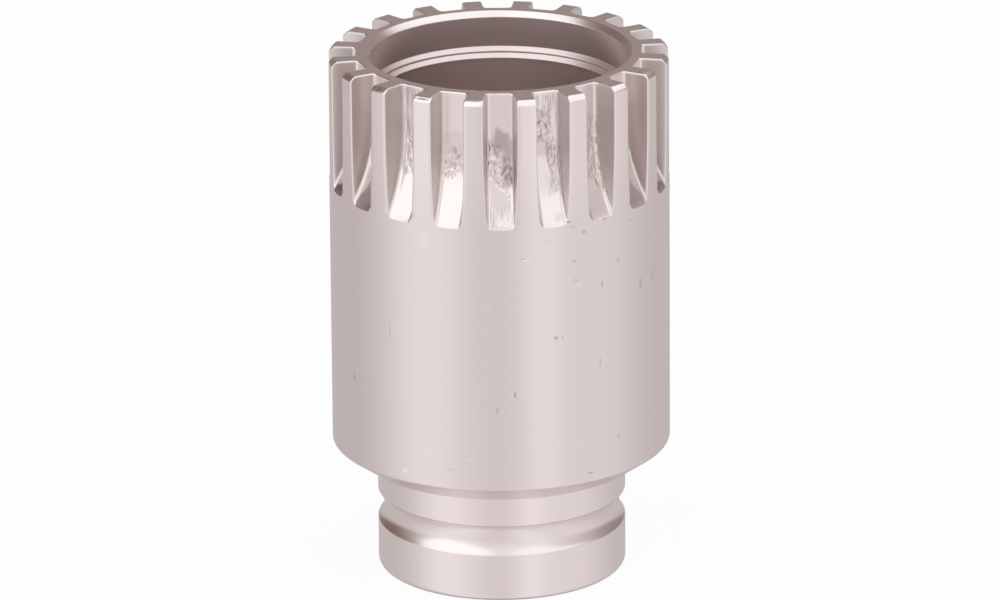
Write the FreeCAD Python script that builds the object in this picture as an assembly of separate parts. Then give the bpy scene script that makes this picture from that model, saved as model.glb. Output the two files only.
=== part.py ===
import FreeCAD, Part
import math
import os

os.makedirs("parts", exist_ok=True)

V = FreeCAD.Vector

# Bottom bracket tool: one solid turned and milled piece. It stands on its drive end, the
# axis is Z, and the splined end is up. Millimetres and degrees.

# driving dimensions: body
spline_od = 32.0            # outside diameter over the splines, same as the plain body
overall_height = 50.8       # drive face to splined face
shank_length = 12.7         # drive face to the lower edge of the body
shoulder_drop = 1.9         # height of the sloping shoulder under the body
shoulder_ledge = 1.5        # flat ring left between the shoulder's lower edge and the shank

# driving dimensions: splines
spline_count = 20
spline_depth = 2.6          # slot depth below the outside
slot_floor_width = 2.55
slot_flank_angle = 6.7      # each flank leans out from the slot's middle plane
slot_straight = 4.15        # full-depth length, from the splined face down
cutter_radius = 14.5        # disc cutter that leaves the run-out
tip_chamfer = 0.45          # 45 degree lead-in on the top of each spline

# driving dimensions: spindle bore
slot_wall = 1.4             # wall left between a slot floor and the mouth of the bore
bore_mouth_chamfer = 0.5
counterbore_depth = 3.4     # splined face to the first step
bore_step = 0.36            # each of the two 45 degree steps
bore_step_land = 0.2        # plain wall between the two steps
bore_floor_height = 18.5    # drive face to the floor of the spindle bore
bore_floor_chamfer = 1.0

# driving dimensions: shank and its ring groove
shank_dia = 23.5
foot_round = 0.6
groove_depth = 0.58         # the groove's section is one arc
groove_low = 4.62           # drive face to the groove's lower lip
groove_width = 2.94         # lip to lip

# driving dimensions: square drive
drive_square = 12.85        # across flats, for a half-inch drive
drive_corner = 0.3
drive_lead_dia = 18.6       # wide end of the lead-in cone
drive_lead_angle = 45.0     # from the axis
detent_groove_depth = 0.8   # below the flats
detent_groove_width = 3.2
detent_groove_height = 7.9  # drive face to the groove's middle
detent_flank = 0.6          # axial height of each groove flank

over = 1.0                  # how far cutting shapes run past the faces they leave through

# relations
body_r = spline_od / 2
shank_r = shank_dia / 2
shoulder_r = shank_r + shoulder_ledge
slot_floor_r = body_r - spline_depth
bore_r = slot_floor_r - slot_wall
top = overall_height
step_z = top - counterbore_depth
inner_r = bore_r - 2 * bore_step
groove_r = shank_r - groove_depth
groove_high = groove_low + groove_width
groove_middle = groove_low + groove_width / 2
half_square = drive_square / 2
detent_r = half_square + detent_groove_depth
lead_r = drive_lead_dia / 2


def turned(points):
    """Solid turned about Z from a closed (radius, height) outline."""
    wire = Part.makePolygon([V(r, 0, z) for r, z in points + points[:1]])
    return Part.Face(wire).revolve(V(0, 0, 0), V(0, 0, 1), 360)


def turned_edges(edges):
    """Solid turned about Z from joined edges in the XZ plane."""
    return Part.Face(Part.Wire(edges)).revolve(V(0, 0, 0), V(0, 0, 1), 360)


def line(a, b):
    return Part.makeLine(V(a[0], 0, a[1]), V(b[0], 0, b[1]))


def lines(points):
    return [line(a, b) for a, b in zip(points[:-1], points[1:])]


def arc(a, through, b):
    return Part.Arc(V(a[0], 0, a[1]), V(through[0], 0, through[1]), V(b[0], 0, b[1])).toShape()


# Outside of the turned blank, from the foot up: a rounded foot edge, the shank with its ring
# groove, the shoulder, the plain body and the lead-in over the splines.
foot_inner = (shank_r - foot_round, 0)
foot_side = (shank_r, foot_round)
diagonal = foot_round * math.sqrt(0.5)
foot_mid = (shank_r - foot_round + diagonal, foot_round - diagonal)
groove_lower_lip = (shank_r, groove_low)
groove_upper_lip = (shank_r, groove_high)
edges = [arc(foot_inner, foot_mid, foot_side),
         line(foot_side, groove_lower_lip),
         arc(groove_lower_lip, (groove_r, groove_middle), groove_upper_lip)]
edges += lines([groove_upper_lip,
                (shank_r, shank_length - shoulder_drop),
                (shoulder_r, shank_length - shoulder_drop),
                (body_r, shank_length),
                (body_r, top - tip_chamfer),
                (body_r - tip_chamfer, top),
                (0, top),
                (0, 0),
                foot_inner])
blank = turned_edges(edges)

# Spindle bore: mouth chamfer, counterbore, two small steps, long bore with a bevelled floor.
bore = turned([(0, bore_floor_height),
               (inner_r - bore_floor_chamfer, bore_floor_height),
               (inner_r, bore_floor_height + bore_floor_chamfer),
               (inner_r, step_z - 2 * bore_step - bore_step_land),
               (bore_r - bore_step, step_z - bore_step - bore_step_land),
               (bore_r - bore_step, step_z - bore_step),
               (bore_r, step_z),
               (bore_r, top - bore_mouth_chamfer),
               (bore_r + bore_mouth_chamfer + over, top + over),
               (0, top + over)])

# Square drive: through to the bore, corners rounded, conical lead-in, ball detent groove.
square_length = bore_floor_height + 2 * over
square = Part.makeBox(drive_square, drive_square, square_length,
                      V(-half_square, -half_square, -over))
square = square.makeFillet(drive_corner, [e for e in square.Edges
                                          if abs(e.Vertexes[0].Z - e.Vertexes[-1].Z) > over])
lead_height = lead_r / math.tan(math.radians(drive_lead_angle))
lead_over = over * math.tan(math.radians(drive_lead_angle))
lead = turned([(0, -over), (lead_r + lead_over, -over), (0, lead_height)])
detent_low = detent_groove_height - detent_groove_width / 2
detent_high = detent_groove_height + detent_groove_width / 2
detent = turned([(0, detent_low - detent_flank),
                 (half_square - detent_groove_depth, detent_low - detent_flank),
                 (detent_r, detent_low + detent_flank),
                 (detent_r, detent_high - detent_flank),
                 (half_square - detent_groove_depth, detent_high + detent_flank),
                 (0, detent_high + detent_flank)])

# One spline slot on the -Y side: a full-depth straight run and the disc cutter's run-out.
lean = math.tan(math.radians(slot_flank_angle))
reach = spline_depth + over
half_floor = slot_floor_width / 2
half_mouth = half_floor + reach * lean
straight_z = top - slot_straight
section = Part.makePolygon([V(-half_floor, -slot_floor_r, straight_z),
                            V(half_floor, -slot_floor_r, straight_z),
                            V(half_mouth, -slot_floor_r - reach, straight_z),
                            V(-half_mouth, -slot_floor_r - reach, straight_z),
                            V(-half_floor, -slot_floor_r, straight_z)])
run = Part.Face(section).extrude(V(0, 0, slot_straight + over))
disc = Part.Face(section).revolve(V(0, -slot_floor_r - cutter_radius, straight_z),
                                  V(1, 0, 0), 360)
slot = run.fuse(disc)
pitch = 360 / spline_count
slots = []
for k in range(spline_count):
    s = slot.copy()
    s.rotate(V(0, 0, 0), V(0, 0, 1), k * pitch)
    slots.append(s)

body = blank.cut(bore).cut(square).cut(lead).cut(detent)
for s in slots:
    body = body.cut(s)
body = body.removeSplitter()
solid = body.Solids[0]
shape = Part.makeSolid(solid.Shells[0]) if len(solid.Shells) == 1 else solid

shape.exportStep("parts/tool_body.step")
print("solids", len(body.Solids), "valid", shape.isValid(), "volume", round(shape.Volume, 2),
      "box", shape.optimalBoundingBox())
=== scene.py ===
import math
from collections import namedtuple
from types import SimpleNamespace

import bpy
import numpy as np
from mathutils import Matrix, Vector, noise


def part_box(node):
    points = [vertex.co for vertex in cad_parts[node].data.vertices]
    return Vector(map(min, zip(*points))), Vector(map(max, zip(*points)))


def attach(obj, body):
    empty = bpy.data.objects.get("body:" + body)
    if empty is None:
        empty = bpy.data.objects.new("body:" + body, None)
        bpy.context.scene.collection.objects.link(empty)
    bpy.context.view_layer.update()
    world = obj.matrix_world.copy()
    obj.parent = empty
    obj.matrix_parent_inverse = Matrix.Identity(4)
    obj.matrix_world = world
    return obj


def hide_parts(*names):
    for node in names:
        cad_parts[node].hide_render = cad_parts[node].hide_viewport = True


# Looks of the bottom bracket tool. Sizes are in millimetres until a mesh is written out.

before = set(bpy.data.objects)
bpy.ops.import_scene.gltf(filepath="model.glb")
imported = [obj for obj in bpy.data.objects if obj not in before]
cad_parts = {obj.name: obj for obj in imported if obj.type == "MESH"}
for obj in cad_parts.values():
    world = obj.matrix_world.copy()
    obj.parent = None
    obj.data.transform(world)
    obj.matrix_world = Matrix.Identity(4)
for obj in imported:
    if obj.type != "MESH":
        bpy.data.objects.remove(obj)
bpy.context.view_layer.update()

MM = 0.001
NODE = "tool_body"
cad_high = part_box(NODE)[1]

# Sizes that the solid has
TOP = cad_high.z / MM
BODY_R = cad_high.x / MM
SLOT_COUNT = 20
SLOT_DEPTH = 2.6
SLOT_FLOOR_HALF = 2.55 / 2
SLOT_LEAN = math.tan(math.radians(6.7))
SLOT_STRAIGHT = 4.15
CUTTER_R = 14.5
TIP_CHAMFER = 0.45
SLOT_WALL = 1.4
MOUTH_CHAMFER = 0.5
COUNTERBORE_DEPTH = 3.4
BORE_STEP = 0.36
BORE_STEP_LAND = 0.2
BORE_FLOOR_Z = 18.5
BORE_FLOOR_CHAMFER = 1.0
SHANK_LENGTH = 12.7
SHANK_R = 23.5 / 2
SHOULDER_DROP = 1.9
SHOULDER_LEDGE = 1.5
FOOT_ROUND = 0.6
GROOVE_DEPTH = 0.58
GROOVE_LOW = 4.62
GROOVE_WIDTH = 2.94
HALF_SQUARE = 12.85 / 2
SQUARE_CORNER = 0.3
LEAD_R = 18.6 / 2
DETENT_Z = 7.9
DETENT_HALF = 3.2 / 2
DETENT_DEPTH = 0.8
DETENT_FLANK = 0.6

# Sizes that only the finish has: the round corners along the slot floors, and how far each
# broken edge reaches from its corner
SLOT_CORNER_R = 0.4
EDGE = 0.09
TOP_EDGE = 0.15
TIP_EDGE = 0.14
TURNED_EDGE = 0.12
BODY_EDGE = 0.15
LIP_EDGE = 0.06
STEP_EDGE = 0.05
BORE_FLOOR_EDGE = 0.3

FLOOR_R = BODY_R - SLOT_DEPTH
BORE_R = FLOOR_R - SLOT_WALL
INNER_R = BORE_R - 2 * BORE_STEP
STEP_Z = TOP - COUNTERBORE_DEPTH
STRAIGHT_Z = TOP - SLOT_STRAIGHT
CUTTER_AXIS_R = FLOOR_R + CUTTER_R
SHOULDER_Z = SHANK_LENGTH - SHOULDER_DROP
GROOVE_TOP = GROOVE_LOW + GROOVE_WIDTH
PITCH = 2 * math.pi / SLOT_COUNT


# Outline of one slot, from its middle to the middle of the next tooth: x across, y outward

FLOOR_STEPS, CORNER_STEPS, FLANK_STEPS, TIP_STEPS, LAND_STEPS = 8, 5, 2, 2, 3
HALF_STEPS = FLOOR_STEPS + CORNER_STEPS + FLANK_STEPS + TIP_STEPS + LAND_STEPS
CORNER_END = FLOOR_STEPS + CORNER_STEPS
FLANK_END = CORNER_END + FLANK_STEPS

# Near its end the slot gets shallow. The broken edge then takes at most a share of its depth, the
# round corner keeps a share of its turn, the rings bend to follow the end, and the floor passes
# softly into the body.
EDGE_SHARE = 0.3
TURN_SHARE = 0.4
END_BEND = 1.5
END_BLUR = 0.03


def cutter_distance(y, z):
    """Distance of a point in the slot's middle plane from the cutter's axis."""
    drop = max(STRAIGHT_Z - z, 0.0)
    return math.hypot(CUTTER_AXIS_R - y, drop)


def slot_half_width(y, z):
    return SLOT_FLOOR_HALF + (CUTTER_R - cutter_distance(y, z)) * SLOT_LEAN


def slot_floor_y(z):
    drop = max(STRAIGHT_Z - z, 0.0)
    return CUTTER_AXIS_R - math.sqrt(max(CUTTER_R ** 2 - drop ** 2, 0.0))


# The floor is flat out to FLAT_HALF, where the round corner starts that turns up into the flank
CORNER_TURN = math.pi / 2 - math.atan(SLOT_LEAN)
FLAT_HALF = SLOT_FLOOR_HALF - SLOT_CORNER_R * math.tan(CORNER_TURN / 2)


def slot_end_z(x):
    """Height at which the slot's floor runs out of the body, x across from its middle."""
    y = math.sqrt(BODY_R ** 2 - min(x, FLAT_HALF) ** 2)
    return STRAIGHT_Z - math.sqrt(CUTTER_R ** 2 - (CUTTER_AXIS_R - y) ** 2)


SLOT_END_Z = slot_end_z(FLAT_HALF)


def soft_min(a, b, k):
    """The smaller of two values, rounded over a width k where they meet."""
    h = np.clip(0.5 + 0.5 * (b - a) / k, 0.0, 1.0)
    return b + (a - b) * h - k * h * (1.0 - h)


def unit(v):
    return v / np.hypot(*v)


def round_corner(point, back, ahead, trim, steps):
    """Points of the arc that leaves a corner's two runs a trim away from it."""
    half = math.acos(float(np.dot(back, ahead))) / 2
    turn = math.pi - 2 * half
    centre = point + unit(back + ahead) * trim / math.cos(half)
    start = point + trim * back - centre
    end = point + trim * ahead - centre
    t = np.linspace(0.0, turn, steps + 1)[:, None]
    return centre + (np.sin(turn - t) * start + np.sin(t) * end) / math.sin(turn)


def land_radius(z):
    """Outside radius over the teeth, with the lead-in at the top."""
    return float(soft_min(BODY_R, BODY_R - TIP_CHAMFER + TOP - z, EDGE))


def closed_angles(spread):
    """Azimuths of the columns below the slot's end: bunched at 0, evenly spread at 1."""
    bunch = 0.006
    floor = np.linspace(0, FLAT_HALF, FLOOR_STEPS + 1)
    side = FLAT_HALF + bunch * np.arange(1, CORNER_STEPS + FLANK_STEPS + TIP_STEPS + 1)
    bunched = np.arcsin(np.concatenate([floor, side]) / BODY_R)
    land = np.linspace(bunched[-1], PITCH / 2, LAND_STEPS + 1)[1:]
    bunched = np.concatenate([bunched, land])
    even = np.linspace(0, PITCH / 2, HALF_STEPS + 1)
    return bunched + (even - bunched) * spread


def corner_point(turn, floor_y):
    """Point of the slot's round corner, a turn on from where the corner leaves the floor."""
    return np.array([FLAT_HALF + SLOT_CORNER_R * math.sin(turn),
                     floor_y + SLOT_CORNER_R * (1 - math.cos(turn))])


def corner_turn_at(floor_y, out_r):
    """Turn at which the round corner comes out of the body."""
    low, high = 0.0, CORNER_TURN
    for _ in range(30):
        middle = (low + high) / 2
        if np.hypot(*corner_point(middle, floor_y)) < out_r:
            low = middle
        else:
            high = middle
    return high


def half_section(z, out_r):
    """Points of the outline at height z, from the slot's middle to the middle of the tooth."""
    floor_y = slot_floor_y(z)
    tip_y = out_r
    for _ in range(6):
        tip_y = math.sqrt(out_r ** 2 - slot_half_width(tip_y, z) ** 2)
    tip = np.array([slot_half_width(tip_y, z), tip_y])
    trim = min(TIP_EDGE, EDGE_SHARE * (tip_y - floor_y))
    turn = CORNER_TURN
    if tip_y - floor_y < SLOT_CORNER_R * (1 - math.cos(turn)) + trim:
        turn = corner_turn_at(floor_y, out_r)
        tip = corner_point(turn, floor_y)
        up = np.array([math.cos(turn), math.sin(turn)])
        turn = max(turn - trim / SLOT_CORNER_R, TURN_SHARE * turn)
    else:
        up = unit(tip - corner_point(turn, floor_y))
    along = unit(np.array([tip[1], -tip[0]]))
    edge = round_corner(tip, -up, along, trim, TIP_STEPS)
    corner = np.array([corner_point(t, floor_y) for t in np.linspace(0, turn, CORNER_STEPS + 1)])
    floor = np.stack([np.linspace(0, FLAT_HALF, FLOOR_STEPS + 1),
                      np.full(FLOOR_STEPS + 1, floor_y)], axis=1)
    rise = np.linspace(0, 1, FLANK_STEPS + 1)[1:-1, None]
    flank = corner[-1] + (edge[0] - corner[-1]) * rise
    edge_angle = math.atan2(edge[-1, 0], edge[-1, 1])
    a = np.linspace(edge_angle, PITCH / 2, LAND_STEPS + 1)[1:]
    land = out_r * np.stack([np.sin(a), np.cos(a)], axis=1)
    return np.concatenate([floor, corner[1:], flank, edge, land])


def moved_in(points, inset):
    """The outline moved into the metal."""
    ahead = np.gradient(points, axis=0)
    ahead[0] = (1.0, 0.0)
    ahead[-1] = (math.cos(PITCH / 2), -math.sin(PITCH / 2))
    inward = np.stack([ahead[:, 1], -ahead[:, 0]], axis=1)
    return points + inset * inward / np.hypot(inward[:, 0], inward[:, 1])[:, None]


def half_outline(z, inset):
    """Outline at height z, moved into the metal by inset: x, y and z of its points."""
    out_r = land_radius(z)
    points = half_section(z, out_r)
    end_shift = np.array([slot_end_z(abs(x)) for x in points[:, 0]]) - SLOT_END_Z
    heights = z + end_shift * np.clip(1.0 - (z - SLOT_END_Z) / END_BEND, 0.0, 1.0)
    if inset:
        points = moved_in(points, inset)
    on_floor = np.arange(len(points)) <= FLOOR_STEPS
    skin = np.sqrt(out_r ** 2 - points[:, 0] ** 2)
    points[:, 1] = np.where(on_floor, soft_min(points[:, 1], skin, END_BLUR), points[:, 1])
    return points[:, 0], points[:, 1], heights


def closed_outline(z, spread):
    a = closed_angles(spread)
    x, y = BODY_R * np.sin(a), BODY_R * np.cos(a)
    end_shift = np.array([slot_end_z(v) for v in x]) - SLOT_END_Z
    return x, y, z + end_shift * (1.0 - spread)


# Wear of the slot floors. Slots are numbered from the one on -Y towards +X. A patch lies across
# and up the floor, leaning by its tilt, and is dull, torn or streaked by the cutter. A ledge is
# the height at which the cutter's second cut starts, and the slope of that cut across the floor.
# Flanks are worn in full but for the ones named. A slot that isn't listed gets wear by chance.

Patch = namedtuple("Patch", "kind across half_across height half_height tilt strength")

SLOT_WEAR = {
    0: [Patch("dull", 0.1, 0.7, 46.2, 1.0, 0.0, 1.0),
        Patch("dull", 0.8, 0.5, 44.2, 2.0, 0.0, 0.9),
        Patch("torn", -0.05, 0.95, 43.7, 1.7, -1.0, 1.0),
        Patch("streaks", 0.1, 1.2, 39.2, 0.9, 0.0, 1.0)],
    1: [Patch("streaks", 0.0, 1.3, 49.3, 1.8, 0.0, 1.0),
        Patch("torn", -0.15, 0.65, 47.6, 1.5, -0.3, 0.9),
        Patch("dull", -0.5, 0.9, 45.5, 1.0, 0.0, 0.5),
        Patch("streaks", 0.6, 0.7, 43.6, 2.4, 0.0, 1.0),
        Patch("torn", 0.8, 0.4, 43.6, 2.4, -0.5, 0.9),
        Patch("dull", 0.7, 0.4, 39.1, 0.4, 0.0, 0.45)],
    2: [Patch("dull", -0.4, 1.1, 45.0, 3.0, 0.0, 0.45),
        Patch("torn", -0.2, 0.8, 44.6, 2.4, 0.0, 0.4),
        Patch("torn", 1.1, 0.4, 44.0, 3.6, 0.0, 0.6)],
    3: [Patch("dull", 0.0, 1.4, 43.0, 4.5, 0.0, 0.55),
        Patch("torn", 0.0, 1.4, 44.5, 2.5, 0.0, 0.4)],
    4: [Patch("dull", 0.0, 1.4, 43.0, 4.5, 0.0, 0.8),
        Patch("torn", 0.0, 1.4, 44.0, 4.0, 0.0, 0.5)],
    16: [Patch("dull", 0.0, 1.4, 43.0, 4.5, 0.0, 1.0),
         Patch("streaks", 0.0, 1.4, 46.5, 4.0, 0.0, 0.8)],
    17: [Patch("dull", 0.0, 1.4, 42.5, 4.0, 0.0, 0.5),
         Patch("streaks", 0.0, 1.4, 46.5, 4.0, 0.0, 0.8),
         Patch("torn", 0.2, 1.1, 43.0, 1.6, 0.0, 0.4)],
    18: [Patch("streaks", 0.0, 1.4, 46.8, 3.9, 0.0, 1.0),
         Patch("torn", 0.3, 0.9, 44.4, 1.4, 0.0, 0.5)],
    19: [Patch("dull", 0.0, 1.4, 49.0, 2.5, 0.0, 0.15),
         Patch("dull", 0.0, 1.3, 45.3, 1.7, 0.0, 0.35),
         Patch("torn", 0.3, 0.9, 44.3, 1.2, 0.3, 0.5),
         Patch("torn", -0.5, 0.7, 43.3, 0.6, 0.0, 0.5)],
}
LEDGES = {3: (43.6, -0.07), 17: (43.8, 0.07), 18: (42.6, 0.07), 19: (43.3, 0.02)}
FLANK_WEAR = {3: 0.35, 4: 0.4, 16: 0.4, 17: 0.3}
TORN_LIFT = 0.05
STREAK_LIFT = 0.008
LEDGE_LIFT = 0.03
DULL_BLUR = 0.6
PATCH_BLUR = 0.3
PATCH_END_BLUR = 0.8
WEAR_SEED = 40


def slot_patches(k):
    if k in SLOT_WEAR:
        return SLOT_WEAR[k]
    low, side, dull, torn, streaks = np.random.default_rng(WEAR_SEED + k).random(5)
    return [Patch("dull", 0.0, 1.2, 45.5, 1.5 + low, 0.0, 0.7 * dull),
            Patch("torn", side - 0.5, 0.9, 43.5 + low, 1.4, side - 0.5, 0.4 + 0.6 * torn),
            Patch("streaks", 0.0, 1.3, 48.0, 3.0, 0.0, streaks)]


def smooth(value, low, high):
    t = min(max((value - low) / (high - low), 0.0), 1.0)
    return t * t * (3 - 2 * t)


def soft_band(offset, half, blur):
    """1 within half of the middle, falling to 0 over a blur."""
    return smooth(half + blur / 2 - abs(offset), 0.0, blur)


WEAR_KINDS = ("dull", "torn", "streaks")
NO_WEAR = (0.0,) * (1 + len(WEAR_KINDS))


def slot_wear(k, x, z):
    """How far a point of slot k's floor stands out of its true place, and its share of each wear.
    The third coordinate of each noise sets it apart from the other noises and slots."""
    shares = dict.fromkeys(WEAR_KINDS, 0.0)
    wander_x = 0.25 * noise.noise((x * 1.5, z * 1.1, k * 3.7))
    wander_z = 0.5 * noise.noise((x * 1.9, z * 0.9, 40 + k * 3.7))
    for patch in slot_patches(k):
        off = x - patch.across
        up = z + wander_z - patch.height - patch.tilt * off
        blur = DULL_BLUR if patch.kind == "dull" else PATCH_BLUR
        share = patch.strength * soft_band(off + wander_x, patch.half_across, blur)
        share *= soft_band(up, patch.half_height, PATCH_END_BLUR)
        shares[patch.kind] = max(shares[patch.kind], share)
    bend = 0.3 * noise.noise((x * 1.7, z * 1.7, 31.0 + k))
    ridges = 1.0 - abs(2.0 * noise.noise(((x + bend) * 1.9, (z + bend) * 1.5, 17.0 + k * 2.3)))
    lift = shares["torn"] * TORN_LIFT * (ridges - 0.75)
    lift += shares["streaks"] * STREAK_LIFT * noise.noise((x * 3.5, z * 0.25, 71.0 + k))
    if k in LEDGES:
        height, lean = LEDGES[k]
        edge = height + 0.2 * noise.noise((x * 2.5, 0.0, 91.0 + k))
        risen = smooth(z, edge - 0.08, edge + 0.08)
        not_ended = 1.0 - smooth(z, edge, edge + 2.0)
        lift += LEDGE_LIFT * risen * not_ended
        lift -= lean * x * (1.0 - smooth(z, edge - 0.3, edge))
    return (lift,) + tuple(shares[kind] for kind in WEAR_KINDS)


# Attributes of a point, for the shader: its share of slot floor, of flank and of each wear
SHARES = ("floor", "flank") + WEAR_KINDS


# Columns over which the floor's share fades out towards the flank
FLOOR_FADE = 4.0


def all_round(x, y, z, depth=0.0, flank_depth=0.0):
    """The half outline mirrored and repeated about the axis: one ring of points and shares."""
    x = np.concatenate([-x[-2:0:-1], x])
    y = np.concatenate([y[-2:0:-1], y])
    z = np.concatenate([z[-2:0:-1], z])
    column = np.abs(np.arange(len(x)) - (HALF_STEPS - 1))
    on_floor = np.clip((CORNER_END - column) / FLOOR_FADE, 0.0, 1.0) * depth
    past_corner = np.clip(column - CORNER_END + 1, 0, 1)
    before_land = np.clip(FLANK_END + 1 - column, 0, 1)
    on_flank = past_corner * before_land * flank_depth
    rise = np.clip((STRAIGHT_Z - z) / CUTTER_R, 0.0, 1.0)
    ring, shares = [], []
    for k in range(SLOT_COUNT):
        worn = np.array([slot_wear(k, a, b) if m > 0 else NO_WEAR
                         for a, b, m in zip(x, z, on_floor)]) * on_floor[:, None]
        out, high = y + worn[:, 0] * np.sqrt(1 - rise ** 2), z + worn[:, 0] * rise
        s, c = math.sin(k * PITCH), math.cos(k * PITCH)
        ring.append(np.stack([out * s + x * c, -out * c + x * s, high], axis=1))
        flank = on_flank * FLANK_WEAR.get(k, 1.0)
        shares.append(np.column_stack([on_floor, flank, worn[:, 1:]]))
    return np.concatenate(ring), np.concatenate(shares)


# Rings of the splined part: how many lie on the straight run and on the run-out, how far the
# ones at the lead-in's lower edge and above the slots' end are from it, and how far those below
# the end are and how evenly their columns spread
STRAIGHT_RINGS = 17
RUN_OUT_RINGS = 47
CHAMFER_OFFSETS = (0.08, 0.03, -0.02, -0.07)
END_OFFSETS = (0.5, 0.4, 0.3, 0.21, 0.14, 0.08, 0.035)
CLOSED_RINGS = ((0.0, 0.0), (0.04, 0.0), (0.12, 0.05), (0.4, 0.35), (0.9, 1.0))


def ring_heights():
    """Height and inset of the rings that cross the slots, from the top edge down."""
    rings = [(TOP - TOP_EDGE * (1 - math.cos(a)), TOP_EDGE * (1 - math.sin(a)))
             for a in np.radians([0, 30, 60, 90])]
    chamfer = [TOP - TIP_CHAMFER + dz for dz in CHAMFER_OFFSETS]
    end = [SLOT_END_Z + dz for dz in END_OFFSETS]
    rings += [(z, 0.0) for z in np.linspace(TOP - TOP_EDGE, chamfer[0], 3)[1:]]
    rings += [(z, 0.0) for z in chamfer[1:]]
    rings += [(z, 0.0) for z in np.linspace(chamfer[-1], STRAIGHT_Z, STRAIGHT_RINGS)[1:]]
    rings += [(z, 0.0) for z in np.linspace(STRAIGHT_Z, end[0], RUN_OUT_RINGS)[1:]]
    return rings + [(z, 0.0) for z in end[1:]]


def spline_rings():
    """Rings from the top edge down to the plain body, each with its points' shares."""
    made = []
    for z, inset in ring_heights():
        above_end = (z - SLOT_END_Z) / END_OFFSETS[0]
        below_top = (TOP - 0.1 - z) / 0.4
        depth = min(max(below_top, 0.0), 1.0) * min(max(above_end, 0.0), 1.0)
        flank_depth = min(max(above_end - 0.5, 0.0), 1.0)
        made.append(all_round(*half_outline(z, inset), depth, flank_depth))
    for dz, spread in CLOSED_RINGS:
        made.append(all_round(*closed_outline(SLOT_END_Z - dz, spread)))
    return made


# Turned surfaces, with fewer columns

FINE_ANGLES = np.concatenate([(k + (np.arange(2 * HALF_STEPS) + 1 - HALF_STEPS) /
                               (2.0 * HALF_STEPS)) * PITCH for k in range(SLOT_COUNT)])
HALF_ANGLES = FINE_ANGLES[1::2]
QUARTER_ANGLES = HALF_ANGLES[1::2]


def turned_ring(radius, z, angles):
    radius = np.broadcast_to(radius, angles.shape)
    z = np.broadcast_to(z, angles.shape)
    return np.stack([radius * np.sin(angles), -radius * np.cos(angles), z], axis=1)


def turned_rings(profile, steps=3):
    """Rings of a turned profile given as (radius, height, trim) with rounded corners."""
    points = np.array([p[:2] for p in profile], float)
    out = []
    for i, (r, z, trim) in enumerate(profile):
        if not trim:
            out.append(points[i][None])
            continue
        back = unit(points[i - 1] - points[i])
        ahead = unit(points[i + 1] - points[i])
        out.append(round_corner(points[i], back, ahead, trim, steps))
    return [turned_ring(r, z, QUARTER_ANGLES) for r, z in np.concatenate(out)]


def groove_profile():
    """The ring groove's round section, from its upper lip down to its lower lip."""
    half = GROOVE_WIDTH / 2
    radius = (half ** 2 + GROOVE_DEPTH ** 2) / (2 * GROOVE_DEPTH)
    lip_angle = math.asin(half / radius)
    centre_r = SHANK_R - GROOVE_DEPTH + radius
    middle = GROOVE_LOW + half
    inner = [(centre_r - radius * math.cos(a), middle + radius * math.sin(a), 0)
             for a in np.linspace(lip_angle, -lip_angle, 17)[1:-1]]
    return [(SHANK_R, middle + half, LIP_EDGE)] + inner + [(SHANK_R, middle - half, LIP_EDGE)]


def outside_rings():
    """From the plain body under the slots down to the flat of the foot."""
    groove = groove_profile()
    body = [(BODY_R, z, 0) for z in np.linspace(SLOT_END_Z - 1.4, SHANK_LENGTH + 0.5, 8)]
    foot = [(SHANK_R - FOOT_ROUND * (1 - math.cos(a)), FOOT_ROUND * (1 - math.sin(a)), 0)
            for a in np.radians([0, 15, 30, 45, 60, 75, 90])]
    upper = turned_ring(BODY_R, SLOT_END_Z - 1.1, HALF_ANGLES)
    return [upper] + turned_rings(
        body +
        [(BODY_R, SHANK_LENGTH, BODY_EDGE),
         (SHANK_R + SHOULDER_LEDGE, SHOULDER_Z, TURNED_EDGE),
         (SHANK_R, SHOULDER_Z, TURNED_EDGE),
         (SHANK_R, GROOVE_TOP + 0.3, 0)] +
        groove +
        [(SHANK_R, GROOVE_LOW - 0.3, 0),
         (SHANK_R, GROOVE_LOW / 2, 0)] +
        foot +
        [(LEAD_R + EDGE + 0.6, 0, 0)])


def square_radius(angles):
    """Radius of the square drive hole at each column."""
    a = np.abs((angles + math.pi / 4) % (math.pi / 2) - math.pi / 4)
    flat = HALF_SQUARE / np.cos(a)
    centre = (HALF_SQUARE - SQUARE_CORNER) * math.sqrt(2)
    b = math.pi / 4 - a
    across = np.maximum(SQUARE_CORNER ** 2 - (centre * np.sin(b)) ** 2, 0)
    tangent = math.atan2(HALF_SQUARE - SQUARE_CORNER, HALF_SQUARE)
    return np.where(a > tangent, centre * np.cos(b) + np.sqrt(across), flat)


# Rings that soften the crease between the lead-in cone and the square, as how far out and how
# far up from it each lies, and the plain rings of the square below and above its groove
CREASE_RINGS = ((0.06, -0.06), (0.012, 0.0), (0.0, 0.08))
LOW_SQUARE_Z = 3.6
HIGH_SQUARE_Z = 13.0


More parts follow.
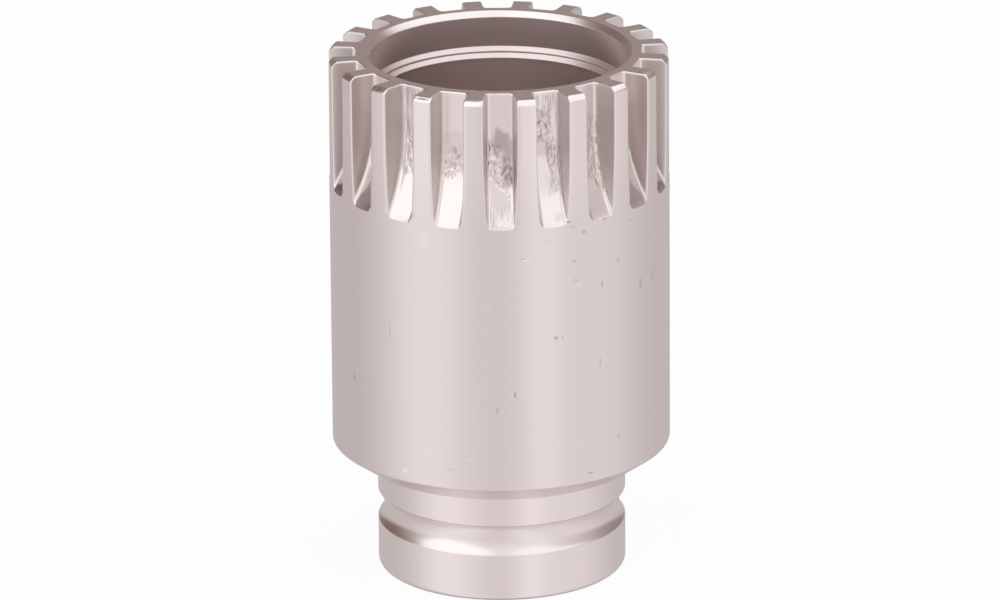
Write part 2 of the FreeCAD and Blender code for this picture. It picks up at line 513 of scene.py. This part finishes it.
def drive_rings():
    """From the lead-in cone's wide end up the square to the floor of the spindle bore."""
    square = square_radius(HALF_ANGLES)
    edge = round_corner(np.array([LEAD_R, 0.0]), np.array([1.0, 0.0]),
                        unit(np.array([-1.0, 1.0])), EDGE, 3)
    sections = [(LEAD_R + EDGE + 0.25, 0.0)] + [(r, z) for r, z in edge]
    crease = LEAD_R - square
    start = edge[-1, 1]
    for t in np.linspace(0, 1, 7)[1:-1]:
        z = start + (crease + CREASE_RINGS[0][1] - start) * t
        sections.append((LEAD_R - z, z))
    sections += [(square + out, crease + up) for out, up in CREASE_RINGS]
    low, high = DETENT_Z - DETENT_HALF, DETENT_Z + DETENT_HALF
    slope = DETENT_DEPTH / DETENT_FLANK
    heights = [LOW_SQUARE_Z, low - 0.15] + list(np.linspace(low, low + DETENT_FLANK, 3))
    heights += [DETENT_Z] + list(np.linspace(high - DETENT_FLANK, high, 3)) + [high + 0.15]
    for z in heights:
        depth = min(DETENT_DEPTH, slope * min(z - low, high - z))
        sections.append((np.maximum(square, HALF_SQUARE + depth), z))
    sections += [(square, z) for z in (HIGH_SQUARE_Z, BORE_FLOOR_Z - 0.4)]
    for a in np.radians([0, 30, 60, 90]):
        z = BORE_FLOOR_Z - EDGE * (1 - math.sin(a))
        sections.append((square + EDGE * (1 - math.cos(a)), z))
    return [turned_ring(r, z, HALF_ANGLES) for r, z in sections]


def bore_rings():
    """From the floor of the spindle bore up over both steps to the top face."""
    land_r = BORE_R - BORE_STEP
    low_step = STEP_Z - 2 * BORE_STEP - BORE_STEP_LAND
    high_step = STEP_Z - BORE_STEP - BORE_STEP_LAND
    wall = [(INNER_R, z, 0) for z in np.linspace(BORE_FLOOR_Z + 2, low_step - 0.3, 6)]
    turned_part = turned_rings([
        (INNER_R - BORE_FLOOR_CHAMFER - 0.6, BORE_FLOOR_Z, 0),
        (INNER_R - BORE_FLOOR_CHAMFER, BORE_FLOOR_Z, BORE_FLOOR_EDGE),
        (INNER_R, BORE_FLOOR_Z + BORE_FLOOR_CHAMFER, BORE_FLOOR_EDGE)] + wall + [
        (INNER_R, low_step, STEP_EDGE),
        (land_r, high_step, STEP_EDGE),
        (land_r, STEP_Z - BORE_STEP, STEP_EDGE),
        (BORE_R, STEP_Z, STEP_EDGE),
        (BORE_R, (STEP_Z + TOP) / 2, 0),
        (BORE_R, TOP - MOUTH_CHAMFER, LIP_EDGE),
        (BORE_R + MOUTH_CHAMFER, TOP, LIP_EDGE),
        (BORE_R + MOUTH_CHAMFER + 0.2, TOP, 0)], steps=2)
    return turned_part + [turned_ring(FLOOR_R - 0.35, TOP, HALF_ANGLES)]


def between(a, b, wide, narrow):
    """Faces between a ring that starts at vertex a and the next one, which starts at b."""
    j = np.arange(narrow)
    n = (j + 1) % narrow
    if wide == narrow:
        return np.stack([a + j, b + j, b + n, a + n], axis=1).tolist()
    f0, f1, f2 = a + 2 * j + 1, a + (2 * j + 2) % wide, a + (2 * j + 3) % wide
    thirds = [np.stack(t, axis=1) for t in ((f0, b + j, f1), (f1, b + n, f2), (f1, b + j, b + n))]
    return np.concatenate(thirds).tolist()


def join(rings):
    """Faces that join a closed chain of rings, where a ring has as many points as its
    neighbour, or twice or half as many."""
    starts = np.concatenate([[0], np.cumsum([len(r) for r in rings])])
    faces = []
    for i, ring in enumerate(rings):
        n = (i + 1) % len(rings)
        a, b, here, there = starts[i], starts[n], len(ring), len(rings[n])
        if here >= there:
            faces += between(a, b, here, there)
        else:
            faces += [face[::-1] for face in between(b, a, there, here)]
    return faces


def tool_mesh():
    """One closed mesh: down the outside, under the foot and up through the bore."""
    splines = spline_rings()
    turned_part = outside_rings() + drive_rings() + bore_rings()
    rings = [ring for ring, _ in splines] + turned_part
    rest = np.zeros((sum(len(r) for r in turned_part), len(SHARES)))
    shares = np.concatenate([s for _, s in splines] + [rest])
    return np.concatenate(rings), join(rings), shares


def weighted_normals(points, faces):
    """Vertex normals weighted by face area, so that flat faces beside soft edges stay flat."""
    normals = np.zeros_like(points)
    by_size = {}
    for face in faces:
        by_size.setdefault(len(face), []).append(face)
    for group in by_size.values():
        f = np.array(group)
        d1, d2 = points[f[:, 2]] - points[f[:, 0]], points[f[:, -1]] - points[f[:, 1]]
        cross = np.cross(d1, d2)
        for c in range(f.shape[1]):
            np.add.at(normals, f[:, c], cross)
    length = np.linalg.norm(normals, axis=1)
    return normals / np.maximum(length, 1e-12)[:, None]


def build_tool():
    points, faces, shares = tool_mesh()
    mesh = bpy.data.meshes.new("tool_skin")
    mesh.from_pydata((points * MM).tolist(), [], faces)
    mesh.polygons.foreach_set("use_smooth", [True] * len(mesh.polygons))
    mesh.normals_split_custom_set_from_vertices(weighted_normals(points, faces).tolist())
    for name, values in zip(SHARES, shares.T):
        mesh.attributes.new(name, "FLOAT", "POINT").data.foreach_set("value", values.copy())
    tool = bpy.data.objects.new("tool_skin", mesh)
    bpy.context.scene.collection.objects.link(tool)
    return tool


tool = build_tool()
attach(tool, "root")
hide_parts(NODE)


# Shader nodes

class Graph:
    """Short ways to add nodes to one shader tree."""

    def __init__(self, owner):
        owner.use_nodes = True
        self.nodes = owner.node_tree.nodes
        self.links = owner.node_tree.links

    def set(self, socket, value):
        if isinstance(value, bpy.types.NodeSocket):
            self.links.new(value, socket)
        elif value is not None:
            socket.default_value = value

    def add(self, kind, **settings):
        node = self.nodes.new("ShaderNode" + kind)
        for key, value in settings.items():
            setattr(node, key, value)
        return node

    def math(self, operation, *values, clamp=False):
        node = self.add("Math", operation=operation, use_clamp=clamp)
        for socket, value in zip(node.inputs, values):
            self.set(socket, value)
        return node.outputs[0]

    def vector(self, operation, *values):
        node = self.add("VectorMath", operation=operation)
        for socket, value in zip(node.inputs, values):
            self.set(socket, value)
        return node.outputs["Value" if operation == "LENGTH" else "Vector"]

    def total(self, *values):
        result = values[0]
        for value in values[1:]:
            result = self.math("ADD", result, value)
        return result

    def product(self, *values):
        result = values[0]
        for value in values[1:]:
            result = self.math("MULTIPLY", result, value)
        return result

    def weighted(self, start, parts):
        """The start plus each part times its weight."""
        return self.total(start, *[self.product(part, weight) for part, weight in parts])

    def split(self, vector):
        node = self.add("SeparateXYZ")
        self.set(node.inputs[0], vector)
        return node.outputs

    def step(self, value, low, high, start=0.0, end=1.0):
        """Goes smoothly from start to end while value goes from low to high."""
        node = self.add("MapRange", interpolation_type="SMOOTHSTEP")
        for socket, v in zip(node.inputs, (value, low, high, start, end)):
            self.set(socket, v)
        return node.outputs[0]

    def band(self, value, begins, full, fades, ends):
        """1 where the value lies between full and fades, falling to 0 at begins and ends."""
        return self.product(self.step(value, begins, full), self.step(value, fades, ends, 1.0, 0.0))

    def mix(self, factor, a, b):
        """Colour a at factor 0 and colour b at factor 1."""
        node = self.add("Mix", data_type="RGBA")
        self.set(node.inputs["Factor"], factor)
        for socket, v in zip((node.inputs[6], node.inputs[7]), (a, b)):
            self.set(socket, v)
        return node.outputs[2]

    def scaled(self, colour, factor):
        """A colour times a value."""
        node = self.add("VectorMath", operation="SCALE")
        self.set(node.inputs[0], colour)
        self.set(node.inputs["Scale"], factor)
        return node.outputs[0]

    def waves(self, point, scale, detail=0.0):
        """Noise with so many waves a unit of the point's coordinates."""
        node = self.add("TexNoise")
        for name, v in (("Vector", point), ("Scale", scale), ("Detail", detail)):
            self.set(node.inputs[name], v)
        return node.outputs

    def noise(self, point, scale, detail=0.0):
        """Noise about 0, up to half each way."""
        return self.math("SUBTRACT", self.waves(point, scale, detail)["Fac"], 0.5)

    def wander(self, point, scale, reach):
        """The point moved by up to half of reach each way, differently from place to place."""
        offset = self.vector("SUBTRACT", self.waves(point, scale)["Color"], (0.5, 0.5, 0.5))
        return self.vector("ADD", point, self.scaled(offset, reach))

    def share(self, name):
        return self.add("Attribute", attribute_name=name).outputs["Fac"]


# Material: satin plate over turned and milled steel

STEEL = (0.855, 0.785, 0.77, 1)
FLANK_STEEL = (0.745, 0.715, 0.69, 1)
DULL_STEEL = (0.56, 0.485, 0.48, 1)
BORE_STEEL = (0.77, 0.68, 0.665, 1)
ROUGHNESS = 0.24

# Bump depths in millimetres
TEAR_DEPTH = 0.6
CRUMB_DEPTH = 0.025
STREAK_DEPTH = 0.085
FINE_STREAK_DEPTH = 0.002
MARK_DEPTH = 0.03
EDGE_WEAR_DEPTH = 0.015

# Noises in waves a millimetre, and how far those that bend others reach. The streaks' noise is
# squeezed along the axis, which draws it out into lines.
TEAR_WAVES = 1.3
CRUMB_WAVES = 5.0
STREAK_WAVES = 5.0
STREAK_SQUEEZE = (1.0, 1.0, 0.09)
RAGGED_WAVES = 2.5
RAGGED_REACH = 0.3
MARK_WAVES = 3.0
MARK_REACH = 0.14

# Bands of height where the plate looks different: where each begins, is full, fades and ends. The
# shoulder's and the groove lip's bands carry painted shade.
BORE_BAND = (BORE_FLOOR_Z - 1, BORE_FLOOR_Z, TOP - MOUTH_CHAMFER - 0.1, TOP - MOUTH_CHAMFER)
SHOULDER_SHADE_BAND = (SHOULDER_Z - 0.1, SHOULDER_Z + 0.1, SHANK_LENGTH - 0.2, SHANK_LENGTH)
LOW_EDGE_BAND = (SHANK_LENGTH - 0.25, SHANK_LENGTH, SHANK_LENGTH, SHANK_LENGTH + 0.35)
GROOVE_LIP_SHADE_BAND = (GROOVE_TOP - 0.14, GROOVE_TOP - 0.05, GROOVE_TOP, GROOVE_TOP + 0.06)

# Heights between which it passes from one look to another. The foot's fade carries painted shade,
# and the shank's, teeth's, flank's and deep bore's fades carry painted light.
FOOT_SHADE_FADE = (0.1, 0.4)
SHANK_FADE = (11.0, 13.0)
TEETH_FADE = (38.0, 46.0)
FLANK_FADE = (41.0, 48.0)
RUN_OUT_FADE = (STRAIGHT_Z - 2, STRAIGHT_Z)
DEEP_BORE_FADE = (STEP_Z - 1.5, STEP_Z - 0.9)

# Small marks on the body, and dark patches on three of the lead-ins that are painted reflections,
# bumped like the marks: azimuth in degrees, height, half width and half height, and how deep each
# is. A mark of negative depth is a pale speck. All end softly, so many half sizes from their
# middle.
MARK_END = 1.3
Mark = namedtuple("Mark", "azimuth height half_width half_height depth")
MARKS_AND_REFLECTIONS = [
    Mark(-59.4, 21.3, 0.20, 0.45, 0.6), Mark(-50.2, 19.3, 0.14, 0.15, 0.5),
    Mark(4.2, 22.2, 0.16, 0.35, 0.8), Mark(-1.6, 20.7, 0.16, 0.40, 0.5),
    Mark(18.5, 27.5, 0.22, 0.22, 0.8), Mark(20.8, 27.4, 0.10, 0.12, 0.8),
    Mark(36.0, 32.1, 0.14, 0.50, 0.5), Mark(54.6, 30.8, 0.18, 0.60, 0.5),
    Mark(62.5, 30.9, 0.45, 0.60, 0.2), Mark(25.4, 34.8, 0.28, 0.20, 0.35),
    Mark(43.1, 33.9, 0.20, 0.22, 0.4), Mark(49.1, 37.4, 0.10, 0.18, 0.5),
    Mark(28.7, 37.5, 0.28, 0.20, 0.6), Mark(7.9, 35.3, 0.38, 0.07, -0.35),
    Mark(7.2, 35.5, 0.20, 0.08, 0.4), Mark(26.7, 32.4, 0.30, 0.07, -0.3),
    Mark(25.6, 32.9, 0.35, 0.22, 0.25), Mark(-4.3, 30.9, 0.40, 0.06, -0.25),
    Mark(-26.5, 37.0, 0.35, 0.50, -0.1), Mark(-40.6, 27.2, 0.14, 1.00, 0.2),
    Mark(35.1, 24.4, 0.12, 0.60, 0.35), Mark(31.1, 13.6, 0.30, 0.08, 0.8),
    Mark(-34.9, 13.8, 0.35, 0.20, -0.3), Mark(-31.7, 16.4, 0.25, 0.12, -0.15),
    Mark(-11.1, 15.7, 0.35, 0.07, -0.25), Mark(-17.7, 14.6, 0.22, 0.08, 0.6),
    Mark(43.0, 16.5, 0.15, 0.10, 0.6), Mark(23.2, 38.7, 0.30, 0.12, 0.9),
    Mark(24.6, 38.2, 0.30, 0.16, 0.35), Mark(15.6, 37.2, 0.16, 0.12, 0.3),
    # The three at height 50.62, on the lead-ins, are painted dark reflections
    Mark(37.1, 38.3, 0.30, 0.10, 0.6), Mark(-27.0, 50.62, 0.75, 0.09, 0.9),
    Mark(-45.5, 50.62, 0.80, 0.14, 0.8), Mark(-63.0, 50.62, 0.60, 0.12, 0.4),
]


def mark_and_reflection_share(g, point):
    """Share of the marks and of the painted reflections at a point."""
    total = 0.0
    for mark in MARKS_AND_REFLECTIONS:
        a = math.radians(mark.azimuth)
        size = Vector((1 / mark.half_width, 1 / mark.half_width, 1 / mark.half_height))
        centre = Vector((BODY_R * math.sin(a), -BODY_R * math.cos(a), mark.height))
        offset = g.vector("MULTIPLY_ADD", point, size, -centre * size)
        inside = g.math("SUBTRACT", MARK_END, g.vector("LENGTH", offset), clamp=True)
        total = g.math("MULTIPLY_ADD", inside, mark.depth, total)
    return total


def plate_places(g):
    """What the plate's height, roughness and colour go by, point by point."""
    at = SimpleNamespace()
    at.floor, at.flank, at.dull, at.torn, at.streaks = [g.share(name) for name in SHARES]
    point = g.scaled(g.add("TexCoord").outputs["Object"], 1 / MM)
    x, y, z = g.split(point)
    at.z = z
    radius = g.math("SQRT", g.total(g.product(x, x), g.product(y, y)))
    around = g.math("DIVIDE", BODY_R, radius)
    wrapped = g.add("CombineXYZ")
    for socket, value in zip(wrapped.inputs, (g.product(x, around), g.product(y, around), z)):
        g.set(socket, value)
    along = g.vector("MULTIPLY", wrapped.outputs[0], STREAK_SQUEEZE)
    ragged = g.wander(point, RAGGED_WAVES, RAGGED_REACH)
    at.lines = g.noise(along, STREAK_WAVES, 1.0)
    at.ridges = g.math("ABSOLUTE", g.noise(ragged, TEAR_WAVES))
    at.crumbs = g.noise(ragged, CRUMB_WAVES)
    at.marks = mark_and_reflection_share(g, g.wander(point, MARK_WAVES, MARK_REACH))
    within_bore = g.step(radius, BORE_R + 0.3, BORE_R + 0.5, 1.0, 0.0)
    at.inside = g.product(within_bore, g.band(z, *BORE_BAND))
    at.run_out = g.product(at.floor, g.step(z, *RUN_OUT_FADE, 1.0, 0.0))
    # Painted shade on the shoulder, the downward-facing step between the body and the shank
    at.shoulder = g.band(z, *SHOULDER_SHADE_BAND)
    at.low_edge = g.band(z, *LOW_EDGE_BAND)
    # Painted shade: the shank's outside is darkened at the groove's upper lip and at the bottom of
    # the foot
    on_shank = g.step(radius, SHANK_R - 0.7, SHANK_R - 0.5)
    foot = g.step(z, *FOOT_SHADE_FADE, 1.4, 0.0)
    at.grime = g.product(on_shank, g.total(g.band(z, *GROOVE_LIP_SHADE_BAND), foot))
    return at


def plate_bump(g, at):
    """Bumped normal, from heights in millimetres."""
    height = g.weighted(0.0, [(g.product(at.torn, at.ridges), -TEAR_DEPTH),
                              (g.product(at.torn, at.crumbs), CRUMB_DEPTH),
                              (g.product(at.streaks, at.lines), STREAK_DEPTH),
                              (at.lines, FINE_STREAK_DEPTH),
                              (at.marks, -MARK_DEPTH),
                              (g.product(at.low_edge, at.crumbs), EDGE_WEAR_DEPTH)])
    bump = g.add("Bump")
    bump.inputs["Distance"].default_value = MM
    g.set(bump.inputs["Height"], height)
    return bump.outputs[0]


def plate_roughness(g, at):
    return g.weighted(ROUGHNESS, [(at.run_out, -0.08), (at.torn, 0.1), (at.dull, 0.08),
                                  (at.flank, 0.2), (at.inside, 0.105)])


def plate_colour(g, at):
    """Colour by place, with painted light and shade by zone, made a little paler or darker by wear,
    and darker at the marks and at the painted reflections on the lead-ins.
    """
    # Painted light: the shank, the teeth towards the top, the lower flanks and the deep bore are
    # made paler. Painted shade: the shoulder, the groove's upper lip and the foot are made darker.
    shank_painted_light = g.step(at.z, *SHANK_FADE, 0.05, 0.0)
    teeth_painted_light = g.step(at.z, *TEETH_FADE, 0.0, 0.05)
    low_flank_painted_light = g.step(at.z, *FLANK_FADE, 0.04, 0.0)
    deep_bore_painted_light = g.step(at.z, *DEEP_BORE_FADE, 0.18, 0.0)
    streak_gain = g.step(at.lines, -0.15, 0.2, 0.1, -0.25)
    gain = g.weighted(g.total(1.0, shank_painted_light, teeth_painted_light),
                      [(at.flank, low_flank_painted_light), (at.inside, deep_bore_painted_light),
                       (at.streaks, streak_gain), (at.shoulder, -0.1), (at.grime, -0.25),
                       (at.marks, -0.45)])
    colour = g.mix(at.flank, STEEL, FLANK_STEEL)
    colour = g.mix(g.weighted(at.dull, [(at.torn, 0.2)]), colour, DULL_STEEL)
    colour = g.mix(at.inside, colour, BORE_STEEL)
    return g.scaled(colour, gain)


def plated_steel():
    material = bpy.data.materials.new("plated_steel")
    g = Graph(material)
    shader = g.nodes["Principled BSDF"]
    shader.inputs["Metallic"].default_value = 1.0
    at = plate_places(g)
    g.set(shader.inputs["Normal"], plate_bump(g, at))
    g.set(shader.inputs["Roughness"], plate_roughness(g, at))
    g.set(shader.inputs["Base Color"], plate_colour(g, at))
    return material


tool.data.materials.append(plated_steel())


# Studio: a pale floor that the camera sees as white, and a soft dome of light

FLOOR_DROP = 0.02
FLOOR_REACH = 4000
FLOOR_GLOW = 0.94


def stage_floor():
    mesh = bpy.data.meshes.new("stage_floor")
    r = FLOOR_REACH * MM
    mesh.from_pydata([(-r, -r, 0), (r, -r, 0), (r, r, 0), (-r, r, 0)], [], [(0, 1, 2, 3)])
    floor = bpy.data.objects.new("stage_floor", mesh)
    floor.location.z = -FLOOR_DROP * MM
    floor.visible_glossy = False
    bpy.context.scene.collection.objects.link(floor)
    material = bpy.data.materials.new("stage_floor")
    g = Graph(material)
    shader = g.nodes["Principled BSDF"]
    shader.inputs["Base Color"].default_value = (1 - FLOOR_GLOW,) * 3 + (1,)
    shader.inputs["Roughness"].default_value = 1.0
    shader.inputs["Specular IOR Level"].default_value = 0.0
    shader.inputs["Emission Color"].default_value = (1, 1, 1, 1)
    seen = g.add("LightPath").outputs["Is Camera Ray"]
    g.set(shader.inputs["Emission Strength"], g.math("MULTIPLY", seen, FLOOR_GLOW))
    floor.data.materials.append(material)


stage_floor()

# Light by direction, where azimuth 0 is towards the camera and 90 is towards +X, as lobes of
# (azimuth, half width, gain). A soft dome ends at an edge that rises and falls about the tool,
# over a darker horizon with paler places. The lower half of the world is what the metal mirrors
# of the pale floor, which darkens straight underneath.
DOME = (1.15, 1.16, 1.16)
DOME_SIDES = ((-45, 50, 0.05), (45, 50, -0.06))
DOME_EDGE = 0.45
DOME_EDGE_RISE = ((-135, 50, 0.7), (-60, 30, -0.6), (25, 22, -0.12), (0, 14, 0.6), (66, 16, 0.17),
                  (100, 18, 0.1))
DOME_EDGE_BLUR = 0.1
HORIZON = (0.365, 0.305, 0.298)
HORIZON_TINT = (1.0, 1.05, 1.07)
HORIZON_LIGHTS = ((-48, 37, 0.63), (32, 30, 0.5), (82, 30, 0.2), (-120, 35, -0.2), (118, 28, -0.1))
FRONT_GLOW = (0, 14, 0.07)
FLOOR_EDGE = -0.04
FLOOR_EDGE_BLUR = 0.05
FLOOR_TINT = (1.0, 0.94, 0.935)
FLOOR_LEVEL = 0.57
POOL_TINT = (1.0, 0.98, 1.04)
FLOOR_POOLS = ((-55, 30, 0.32), (27, 14, 0.22), (72, 34, 0.22), (0, 50, 0.1))
FLOOR_UNDER = (0.55, 0.52, 0.515, 1)
UNDER_REACH = 0.45


def lobe(g, x, y, azimuth, half_width):
    """1 towards an azimuth, falling to a half at half_width degrees from it."""
    a = math.radians(azimuth)
    toward = g.total(g.product(x, math.sin(a)), g.product(y, -math.cos(a)))
    rate = math.log(2) / (1 - math.cos(math.radians(half_width)))
    return g.math("EXPONENT", g.product(g.math("SUBTRACT", toward, 1.0), rate))


def lobes(g, x, y, level, parts):
    """A level with lobes added to it."""
    return g.weighted(level, [(lobe(g, x, y, azimuth, half_width), gain)
                              for azimuth, half_width, gain in parts])


def stage_light():
    world = bpy.data.worlds.new("studio")
    bpy.context.scene.world = world
    g = Graph(world)
    x, y, z = g.split(g.add("TexCoord").outputs["Generated"])
    # a little over 1, so that nothing is divided by 0 straight up or down
    level = g.math("SQRT", g.math("SUBTRACT", 1.0001, g.product(z, z)))
    x, y = g.math("DIVIDE", x, level), g.math("DIVIDE", y, level)
    dome = g.scaled(DOME, lobes(g, x, y, 1.0, DOME_SIDES))
    front = g.product(lobes(g, x, y, 0.0, [FRONT_GLOW]), g.step(z, 0.1, 0.4))
    lights = lobes(g, x, y, front, HORIZON_LIGHTS)
    horizon = g.vector("ADD", HORIZON, g.scaled(HORIZON_TINT, lights))
    edge = lobes(g, x, y, DOME_EDGE, DOME_EDGE_RISE)
    edge_low, edge_high = g.total(edge, -DOME_EDGE_BLUR), g.total(edge, DOME_EDGE_BLUR)
    above = g.mix(g.step(z, edge_low, edge_high), horizon, dome)
    pools = g.scaled(POOL_TINT, lobes(g, x, y, 0.0, FLOOR_POOLS))
    floor = g.vector("ADD", g.scaled(FLOOR_TINT, FLOOR_LEVEL), pools)
    below = g.mix(g.step(level, 0.0, UNDER_REACH), FLOOR_UNDER, floor)
    over_floor = g.step(z, FLOOR_EDGE - FLOOR_EDGE_BLUR, FLOOR_EDGE + FLOOR_EDGE_BLUR)
    studio = g.mix(over_floor, below, above)
    seen = g.add("LightPath").outputs["Is Camera Ray"]
    background = g.nodes["Background"]
    g.set(background.inputs["Color"], g.mix(seen, studio, (1, 1, 1, 1)))


stage_light()


# Camera at the photograph's angle

PHOTO_WIDTH = 1000
FOCAL_PIXELS = 9116.6
CAMERA_DISTANCE = 861.3
CAMERA_ELEVATION = math.radians(19.12)
CAMERA_AZIMUTH = math.radians(-0.33)
CAMERA_ROLL = math.radians(-0.412)
AIM = Vector((-0.036, 0.0, 26.03))
CAMERA_REACH = 20000
SENSOR_WIDTH = 36.0


def stage_camera():
    data = bpy.data.cameras.new("camera")
    data.sensor_width = SENSOR_WIDTH
    data.lens = FOCAL_PIXELS / PHOTO_WIDTH * SENSOR_WIDTH
    data.clip_end = CAMERA_REACH * MM
    camera = bpy.data.objects.new("camera", data)
    bpy.context.scene.collection.objects.link(camera)
    turn = (Matrix.Rotation(CAMERA_AZIMUTH, 3, "Z") @
            Matrix.Rotation(math.pi / 2 - CAMERA_ELEVATION, 3, "X") @
            Matrix.Rotation(CAMERA_ROLL, 3, "Z"))
    place = AIM + turn @ Vector((0, 0, CAMERA_DISTANCE))
    camera.matrix_world = Matrix.Translation(place * MM) @ turn.to_4x4()
    bpy.context.scene.camera = camera


stage_camera()

bpy.context.scene.view_settings.view_transform = "Standard"
